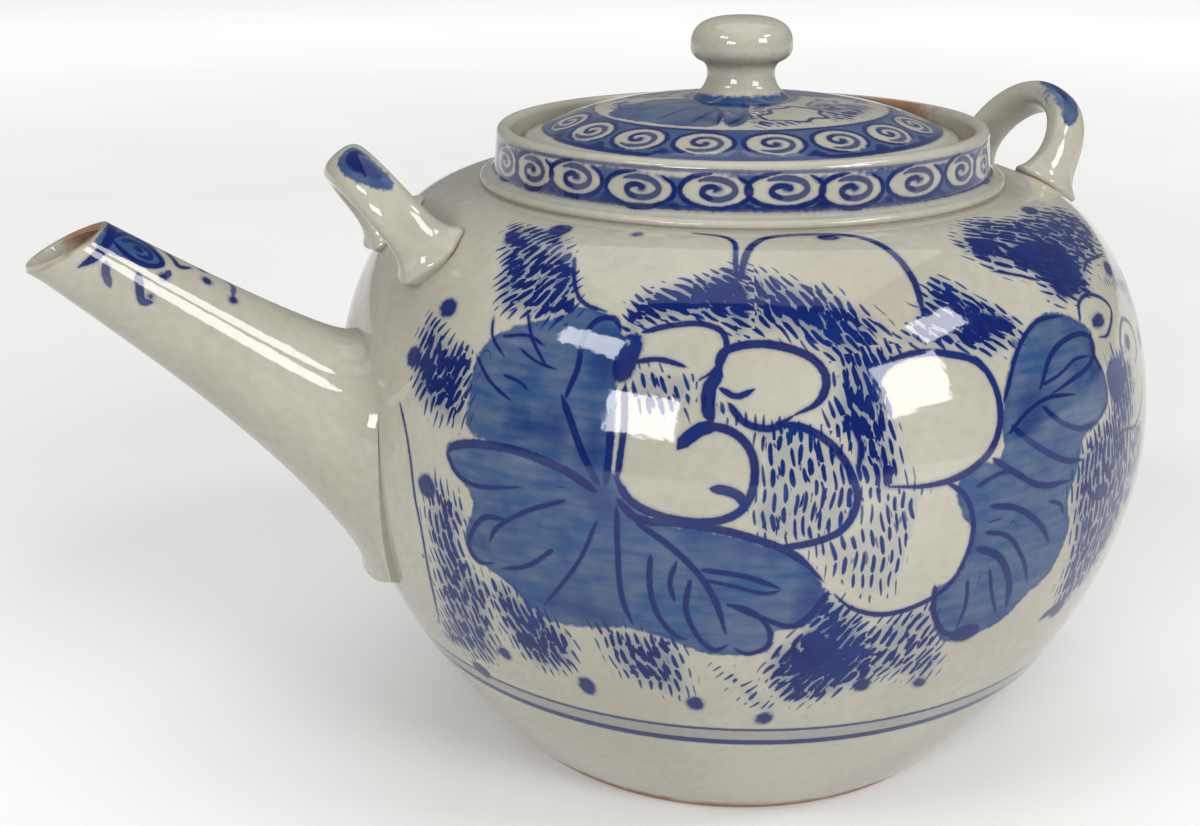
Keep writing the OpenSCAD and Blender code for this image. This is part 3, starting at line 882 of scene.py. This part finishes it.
co = points_of(belly)
radius = np.hypot(co[:, 0], co[:, 1])
degrees = np.degrees(np.arctan2(-co[:, 1], -co[:, 0])) % 360
outside = (radius > wall_at(co[:, 2]) - 0.6) & (co[:, 2] > FOOT_UP - 0.01)
clay_up = np.where(outside, np.interp(co[:, 2], FINE_UP, CLAY), AWAY)
skin = Skin(belly, degrees, clay_up, np.maximum(radius, 1) * math.pi / 180)
painted_side(skin, 0)
painted_side(skin, 180)
around = [x for x in range(-10, 371, 20)]
skin.stroke([(x, 29.0 + 0.12 * math.sin(x / 40)) for x in around], 1.4, steps=6)
skin.stroke([(x, 32.5 + 0.2 * math.sin(x / 50)) for x in around], 0.7, shade=0.9, steps=6)
skin.stroke([(x, 30.9) for x in around], 2.6, shade=0.22, steps=6)
skin.brown_amount = np.clip(1 - (clay_up - 1) / 5, 0, 1) * (clay_up > 0) * 0.75
skin.keep()
belly.data.materials.append(painted_glaze("painted_belly_glaze"))
keep_piece(belly, "body_shell", "pot")

# ---------------------------------------------------------------- foot
foot_line = [(belly_radius(FOOT_UP), FOOT_UP)]
foot_line += [(FOOT + 0.3 - 0.9 * (1 - math.cos(math.radians(a))), 1.6 - 1.6 * math.sin(math.radians(a)))
              for a in range(0, 91, 15)]
foot_line += [(FOOT - 4.2 + 0.7 * math.cos(math.radians(a)), 0.7 - 0.7 * math.sin(math.radians(a)))
              for a in range(90, 181, 30)]
foot_line += [(FOOT - 5.4, FOOT_UP), (belly_radius(FOOT_UP), FOOT_UP)]
foot = turned("foot", foot_line, 192)

# ---------------------------------------------------------------- neck with its band of curls
lip = (NECK - NECK_INNER) / 2
neck_line = [(NECK_INNER, SHOULDER_UP), (SHOULDER - 0.2, SHOULDER_UP)]
neck_line += [(SHOULDER - 0.9 + 0.9 * math.cos(math.radians(a)),
               SHOULDER_UP + 0.75 + 0.75 * math.sin(math.radians(a)))
              for a in range(-60, 91, 25)]
neck_line += [(NECK + 1.3, SHOULDER_UP + 1.75), (NECK + 0.75, SHOULDER_UP + 2.2)]
neck_line += [(NECK + 0.55 - 0.6 * (z - 100.2) / 6, z) for z in np.linspace(100.2, 105.6, 19)]
neck_line += [(NECK - lip + (lip + 0.05) * math.cos(math.radians(a)),
               RIM_UP - lip + lip * math.sin(math.radians(a)))
              for a in range(0, 181, 15)]
neck_line += [(NECK_INNER + 0.1, 105), (NECK_INNER, 103.3), (NECK_INNER, SHOULDER_UP)]
neck = turned("neck", neck_line, 760)

co = points_of(neck)
radius = np.hypot(co[:, 0], co[:, 1])
degrees = np.degrees(np.arctan2(-co[:, 1], -co[:, 0])) % 360
face = (radius > NECK - 0.8) & (co[:, 2] < RIM_UP - 0.4)
skin = Skin(neck, degrees, np.where(face, co[:, 2], AWAY), np.maximum(radius, 1) * math.pi / 180,
            reach=0.75)
skin.fill([(-10, 100.5), (370, 100.5)]
          + [(x, 105.4 + 0.4 * math.sin(x / 4.5)) for x in range(370, -11, -4)], 0, smooth=False)
for i in range(24):
    curl(skin, 12.5 + i * 15 + 0.9 * math.sin(i * 4.7), 103.2 + 0.25 * math.sin(i * 2.1),
         6.9 + 0.6 * math.sin(i * 3.3),
         2.55 + 0.2 * math.sin(i * 5.9))
for i in range(24):
    middle = 20 + i * 15
    skin.fill([(middle - 1.8, 100.6), (middle, 101.8 + 0.4 * math.sin(i * 1.9)), (middle + 1.8, 100.6)], 1)
skin.stroke([(x, 105.95 + 0.12 * math.sin(x / 23)) for x in around], 0.6, shade=0.7, steps=8)
skin.stroke([(x, 100.5 + 0.1 * math.sin(x / 31)) for x in around], 0.7, shade=0.85, steps=8)
inside = (radius < NECK_INNER + 0.7) & (co[:, 2] > 99)
skin.brown_amount = inside * np.clip(1.35 - np.abs((degrees - 204 + 180) % 360 - 180) / 28, 0.12, 1)
skin.keep()
neck.data.materials.append(painted_glaze("painted_neck_glaze", hatched=False))
keep_piece(neck, "neck_collar", "pot")

# ---------------------------------------------------------------- lid
lid_line = [(0, CROWN)] + [(r, lid_height(r)) for r in [*np.linspace(1, 24, 44),
                                                        *np.linspace(24.4, 33.6, 26), 34.3, 35, 35.5]]
edge_up = lid_height(LID - 1.2)
lid_line += [(LID - 1.2 + 1.2 * math.sin(math.radians(a)), edge_up - 1.2 + 1.2 * math.cos(math.radians(a)))
             for a in range(20, 91, 14)]
lid_line += [(LID, SEAT_UP + 0.35), (LID - 0.4, SEAT_UP), (FLANGE - 3.2, SEAT_UP)]
lid_line += [(r, lid_height(r) - LID_WALL) for r in np.linspace(FLANGE - 3.6, 0, 8)]
lid = turned("lid", lid_line, 560)

# ---------------------------------------------------------------- knob
knob_stations = [(7.9, 111.35), (6.9, 112.3), (6.1, 113.4), (5.75, 114.6), (5.7, 115.6), (5.95, 116.5),
                 (6.6, 117.1),
                 (7.5, 117.6), (8.2, 118.3), (8.5, 119.2), (8.5, 120.3), (8.3, 121.3), (7.8, 122.3),
                 (6.9, 123.2),
                 (5.5, 123.9), (3.8, 124.3), (1.9, 124.47), (0, 124.5)]
knob_line = [(0, CROWN - 0.5), (8.8, CROWN - 0.5)]
knob_line += [tuple(p) for p in curve([(8.4, 111.0)] + knob_stations, steps=4)]
knob_line[-1] = (0, 124.5)
knob = turned("knob", knob_line, 160)

# ---------------------------------------------------------------- spout
def spout_radius(u):
    t = max(u, 0) / SPOUT_LONG
    return SPOUT_TIP + (SPOUT_ROOT - SPOUT_TIP) * (0.62 * t + 0.38 * t ** 3.2)


def spout_point(turn, u, grow):
    """A point on the spout, turn radians round from its top, u down its axis."""
    out = SPOUT_TOP * math.cos(turn) + SPOUT_SIDE * math.sin(turn)
    return SPOUT_MOUTH + SPOUT_DOWN * u + out * (spout_radius(u) + grow)


def spout_start(turn):
    """Where the slanted mouth cuts the wall."""
    u = 0.0
    for _ in range(20):
        u = spout_radius(u) * math.cos(turn) * math.tan(MOUTH_CUT)
    return u


def spout_end(turn):
    """Where the wall meets the belly, and no further down than the root is cut."""
    low, high = 20.0, 95.0
    for _ in range(40):
        middle = (low + high) / 2
        p = spout_point(turn, middle, 0)
        if math.hypot(p.x, p.y) < belly_radius(min(max(p.z, 1), SHOULDER_UP)):
            high = middle
        else:
            low = middle
    return min(high, ROOT_CUT)


turns = [2 * math.pi * i / SPOUT_STEPS for i in range(SPOUT_STEPS)]
walls = [(t, spout_start(t), spout_end(t)) for t in turns]
rings = []
for row in range(SPOUT_ROWS + 1):
    share = row / SPOUT_ROWS
    places = [(t, a + (b - a) * share, b) for t, a, b in walls]
    rings.append([spout_point(t, u, 1.5 * math.exp(-(b - u) / FILLET * 1.3)) for t, u, b in places])
outer_end = rings[-1]
# Two rings that lie against the belly and close the root
for sink, drop in ((0.2, 0.5), (-1.0, 0.9)):
    ring = []
    for p in outer_end:
        z = p.z - drop
        r = belly_radius(min(max(z, 1), SHOULDER_UP)) + sink
        out = Vector((p.x, p.y, 0))
        ring.append(Vector((0, 0, z)) + out.normalized() * min(r, math.hypot(p.x, p.y) + 0.1))
    rings.append(ring)
for row in range(BORE_ROWS + 1):
    share = 1 - row / BORE_ROWS
    places = [(t, a + (b - a) * share) for t, a, b in walls]
    rings.append([spout_point(t, u, -1.5 - 1.4 * max(u, 0) / SPOUT_LONG) for t, u in places])
lip_ring = [(p + q) / 2 + SPOUT_DOWN * -0.45 for p, q in zip(rings[-1], rings[0])]
rings.append(lip_ring)
rings.append(rings[0])
spout = finish_mesh(tube("spout_tube", rings))

# ---------------------------------------------------------------- lugs
def lug_stand(station, lean):
    """Base point, way out and way across of a lug on the spout's side."""
    up = BELLY_UP + (SHOULDER_UP - BELLY_UP) * station
    reach = math.sqrt(belly_radius(up) ** 2 - LUG_HALF ** 2)
    lean = math.radians(lean)
    return (Vector((-reach, 0, up)), Vector((-math.cos(lean), 0, math.sin(lean))),
            Vector((-math.sin(lean), 0, -math.cos(lean))))


def lug_rings(base, out_way, flat_way):
    """Rings of the strap from one pressed foot over the arch to the other."""
    side_way = Vector((0, 1, 0))
    places = [(-LUG_HALF, high) for high in (-2.2, -1.2, -0.3, 0.5, 1.2, 2.0, 3.0, 4.0)]
    places += [(-LUG_HALF * math.cos(a), LUG_LEG + LUG_HALF * math.sin(a))
               for a in np.linspace(0.06, math.pi - 0.06, 25)]
    places += [(LUG_HALF, high) for high in (4.0, 3.0, 2.0, 1.2, 0.5, -0.3, -1.2, -2.2)]
    made = []
    for i, (across, high) in enumerate(places):
        before, after = places[max(i - 1, 0)], places[min(i + 1, len(places) - 1)]
        go = Vector((after[0] - before[0], after[1] - before[1])).normalized()
        along = side_way * go[0] + out_way * go[1]
        inward = along.cross(flat_way).normalized()
        flare = math.exp(-max(high - 0.4, 0) / 2.0) if high > 0.4 else 1 + 0.28 * (high - 0.4)
        thick, wide = 2.4 + 2.3 * flare, 3.75 + 2.8 * flare
        centre = base + side_way * across + out_way * high
        ring = []
        for j in range(28):
            a = 2 * math.pi * j / 28
            c, s = math.cos(a), math.sin(a)
            c = math.copysign(abs(c) ** 0.8, c)
            s = math.copysign(abs(s) ** 0.8, s)
            lump = 1 + 0.07 * flare * (math.sin(3 * a + 1 + across) + math.sin(5 * a + 2))
            ring.append(centre + (inward * thick * c + flat_way * wide * s) * lump)
        made.append(ring)
    return made


def lug(name, stand):
    """One strap with its two pressed feet."""
    piece = finish_mesh(tube(name, lug_rings(*stand)), close_ends=True)
    deselect()
    piece.select_set(True)
    bpy.context.view_layer.objects.active = piece
    rounding = piece.modifiers.new("rounding", "SUBSURF")
    rounding.levels = rounding.render_levels = 2
    bpy.ops.object.modifier_apply(modifier="rounding")
    return piece


front_stand, rear_stand = (lug_stand(*pair) for pair in zip(LUG_STATIONS, LUG_LEANS))
front_lug, rear_lug = lug("front_strap", front_stand), lug("rear_strap", rear_stand)

# ---------------------------------------------------------------- finishes
clay = bare_clay("bare_clay")
plain = painted_glaze("plain_glaze", hatched=False)

co = points_of(spout)
from_mouth = co - np.array(SPOUT_MOUTH)
down = from_mouth @ np.array(SPOUT_DOWN)
high, side = from_mouth @ np.array(SPOUT_TOP), from_mouth @ np.array(SPOUT_SIDE)
wall = np.hypot(high, side)
outer = wall > np.array([spout_radius(u) for u in down]) - 0.7
skin = Skin(spout, np.degrees(np.arctan2(side, high)) % 360, np.where(outer, down, AWAY),
            wall * math.pi / 180)
for width, shade, line in [
    (1.4, 1.0, [(-35, 6.5), (-10, 6), (20, 6.2), (50, 6.2), (72, 5.7), (95, 4.6)]),
    (0.9, 1.0, [(35, 6.5), (8, 8.5), (10, 11), (30, 14.3), (44, 13.5), (50, 11), (44, 8), (35, 6.5)]),
    (0.9, 0.9, [(30, 8), (20, 9.8), (25, 12), (36, 12.5), (41, 10.5)]),
    (1.2, 0.8, [(72, 7.4), (84, 8.2), (95, 9.7)]),
    (1.2, 0.9, [(64, 12), (78, 13.2), (89, 14.4), (84, 15.8)]),
    (0.9, 1.0, [(-4, 14.3), (16, 16), (24, 17), (12, 18.9)]), (1.1, 0.9, [(40, 15.8), (50, 15.6)]),
    (0.9, 0.8, [(-8, 23.6), (6, 25.5), (32, 25.7)]), (0.8, 0.7, [(-30, 10), (-22, 14), (-30, 18)]),
    (0.8, 0.7, [(-60, 7), (-58, 10)]), (0.7, 0.7, [(-20, 29.5), (-8, 30)]),
]:
    skin.stroke([(x, y - 2.6) for x, y in line], width, shade)
skin.fill([(-30, 1.6), (10, 2.2), (58, 2.4), (50, 8.5), (34, 12), (5, 10), (-24, 7)], 0)
for x, y, size in ((30, 10.6, 0.9), (24, 21.4, 0.9), (3, 20.6, 0.7), (34, 25.9, 0.8), (50, 15.3, 0.8),
                   (80, 15, 0.6)):
    skin.dot(x, y - 2.6, size * 7, size)
skin.brown_amount = np.where(outer, np.clip(0.55 - (down + np.tan(MOUTH_CUT) * -high) / 1.2, 0, 0.5),
                      np.clip(1.15 - (down - high * 0.6) / 8, 0, 0.95) * np.clip((high + 2.5) / 4, 0.15, 1))
skin.keep()

for piece, stand, patch in (
        (front_lug, front_stand,
         [(-2.4, 20), (0.4, 19.6), (1.6, 17), (1.4, 13.5), (0.2, 10.5), (-1.2, 8.4), (-2.4, 8), (-3.1, 10),
          (-3, 15)]),
        (rear_lug, rear_stand,
         [(-3, 21), (-0.8, 20), (1.2, 24), (1, 30), (-0.4, 34.5), (-2.6, 35.5), (-3.6, 30), (-3.6, 25)])):
    base, out_way, flat_way = (np.array(v) for v in stand)
    co = points_of(piece)
    high = (co - base) @ out_way - LUG_LEG
    arch = np.arctan2(high, -co[:, 1]) * (LUG_HALF + 2)
    outer = (np.hypot(high, co[:, 1]) > LUG_HALF - 0.6) & (high > -4)
    skin = Skin(piece, (co - base) @ flat_way, np.where(outer, arch, AWAY), np.ones(len(co)), turning=False)
    skin.fill(patch, 0)
    skin.fill([(x * 0.8 - 0.3, y * 0.9 + 1.6) for x, y in patch], 2)
    skin.fill([(x * 0.62 - 0.7, y * 0.7 + 4.6) for x, y in patch], 1)
    # Painted shade: the strap's feet are browned where they stand close to the belly, on one side, for the
    # shadow in that crevice.
    gap = np.hypot(co[:, 0], co[:, 1]) - wall_at(co[:, 2])
    skin.brown_amount = np.clip(1.3 - gap / 1.0, 0, 1) * np.clip(0.45 - (co - base) @ flat_way / 4, 0, 1)
    skin.keep()
    if piece is rear_lug:
        place_mesh(piece, math.pi)

for piece in (foot, knob):
    co = points_of(piece)
    skin = Skin(piece, co[:, 0], co[:, 1], np.ones(len(co)), turning=False)
    if piece is foot:
        skin.brown_amount = np.where(co[:, 2] < 1, 0.9, 0.45)
    else:
        skin.fills[:, 0] = np.clip(112.2 - co[:, 2], -9, 1)
    skin.keep()
for piece in (foot, spout, front_lug, rear_lug, knob):
    piece.data.materials.append(plain)
for node in ("lid_ledge", "lid_flange"):
    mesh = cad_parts[node].data
    mesh.materials.clear()
    mesh.materials.append(clay)


keep_piece(foot, "foot_ring", "pot")
keep_piece(spout, "spout", "pot")
keep_piece(front_lug, "front_lug", "pot")
keep_piece(rear_lug, "rear_lug", "pot")
keep_piece(knob, "lid_knob", "lid")

co = points_of(lid)
radius = np.hypot(co[:, 0], co[:, 1])
top = co[:, 2] > lid_height(np.minimum(radius, LID)) - 1.4
degrees = np.degrees(np.arctan2(-co[:, 1], -co[:, 0])) % 360
skin = Skin(lid, degrees, np.where(top, radius, AWAY), np.maximum(radius, 0.5) * math.pi / 180, reach=0.75)
skin.fill([(x, 24.8) for x in range(-10, 371, 10)] + [(x, 33.2) for x in range(370, -11, -10)], 0,
          smooth=False)
for i in range(17):
    curl(skin, 10 + i * 360 / 17, 29.1, 8.6, 3.1)
for i in range(17):
    middle = 10 + (i + 0.5) * 360 / 17
    skin.fill([(middle - 3, 33), (middle, 31.2), (middle + 3, 33)], 1)
skin.stroke([(x, 33.2) for x in around], 1.0, steps=8)
skin.stroke([(x, 24.9 + 0.15 * math.sin(x / 20)) for x in around], 0.7, steps=8)
skin.stroke([(x, 9.3 + 0.3 * math.sin(x / 30)) for x in around], 1.8, shade=0.55, steps=8)
skin.brown_amount = np.clip(1 - (LID - radius) / 1.5, 0, 1) * 0.5 * (co[:, 2] > SEAT_UP + 0.5)
skin.lay(co[:, 0], np.where(top, co[:, 1], AWAY), np.ones(len(co)), turning=False)
lid_side(skin, 1)
lid_side(skin, -1)
skin.keep()
lid.data.materials.append(painted_glaze("painted_lid_glaze"))
keep_piece(lid, "lid_dome", "lid")

# ---------------------------------------------------------------- studio
deselect()
bpy.ops.mesh.primitive_plane_add(size=12, location=(0, 0, 0))
floor = bpy.context.active_object
floor.name = "studio_floor"
paper = Glaze("floor_paper")
tone = paper.blend(paper.noise(0.004, 2).over(0.3, 0.7), (0.70, 0.70, 0.695, 1), (0.73, 0.73, 0.725, 1))
far = paper.node("VectorMath", {"operation": "LENGTH"}, {0: paper.place(MM)}, out=1).over(0.25, 1.6)
glow = paper.blend(far, (0.05, 0.05, 0.05, 1), (0.46, 0.46, 0.46, 1))
floor.data.materials.append(paper.finish(tone, 0.6, paper.noise(0.4, 2), strength=0.05,
                                         Emission_Color=glow, Emission_Strength=1.0))


def softbox(name, azimuth, elevation, wide, high, brightness, away=2.5):
    """A window of light seen from the pot at that bearing, wide and high in degrees."""
    a, e = math.radians(azimuth), math.radians(elevation)
    toward = Vector((math.cos(a) * math.cos(e), math.sin(a) * math.cos(e), math.sin(e)))
    light = bpy.data.lights.new(name, "AREA")
    light.shape = "RECTANGLE"
    light.size, light.size_y = math.radians(wide) * away, math.radians(high) * away
    light.energy = brightness * math.pi * light.size * light.size_y
    made = bpy.data.objects.new(name, light)
    bpy.context.scene.collection.objects.link(made)
    made.location = Vector((0, 0, 0.07)) + toward * away
    made.rotation_euler = toward.to_track_quat("Z", "Y").to_euler()
    return made


softbox("left_window", -141, 17, 19, 13, 22)
softbox("left_top_window", -164, 39, 17, 7.5, 19)
softbox("right_window", -66, 23.5, 20, 18, 18)
softbox("right_top_window", -46, 40, 15, 9, 17)
softbox("ceiling", 63, 82, 60, 60, 1.5)

world = bpy.data.worlds.new("studio")
bpy.context.scene.world = world
world.use_nodes = True
world.node_tree.nodes["Background"].inputs["Color"].default_value = (1, 1, 1, 1)
world.node_tree.nodes["Background"].inputs["Strength"].default_value = 0.28

lens = bpy.data.cameras.new("view")
lens.lens, lens.sensor_width, lens.sensor_fit = 43.77, 36, "HORIZONTAL"
camera = bpy.data.objects.new("view", lens)
bpy.context.scene.collection.objects.link(camera)
camera.location = (-0.1135, -0.22275, 0.14395)
camera.rotation_euler = tuple(math.radians(a) for a in (70.302, 0.335, -21.627))
lens.clip_start = 0.01
bpy.context.scene.camera = camera
bpy.context.scene.view_settings.view_transform = "Standard"
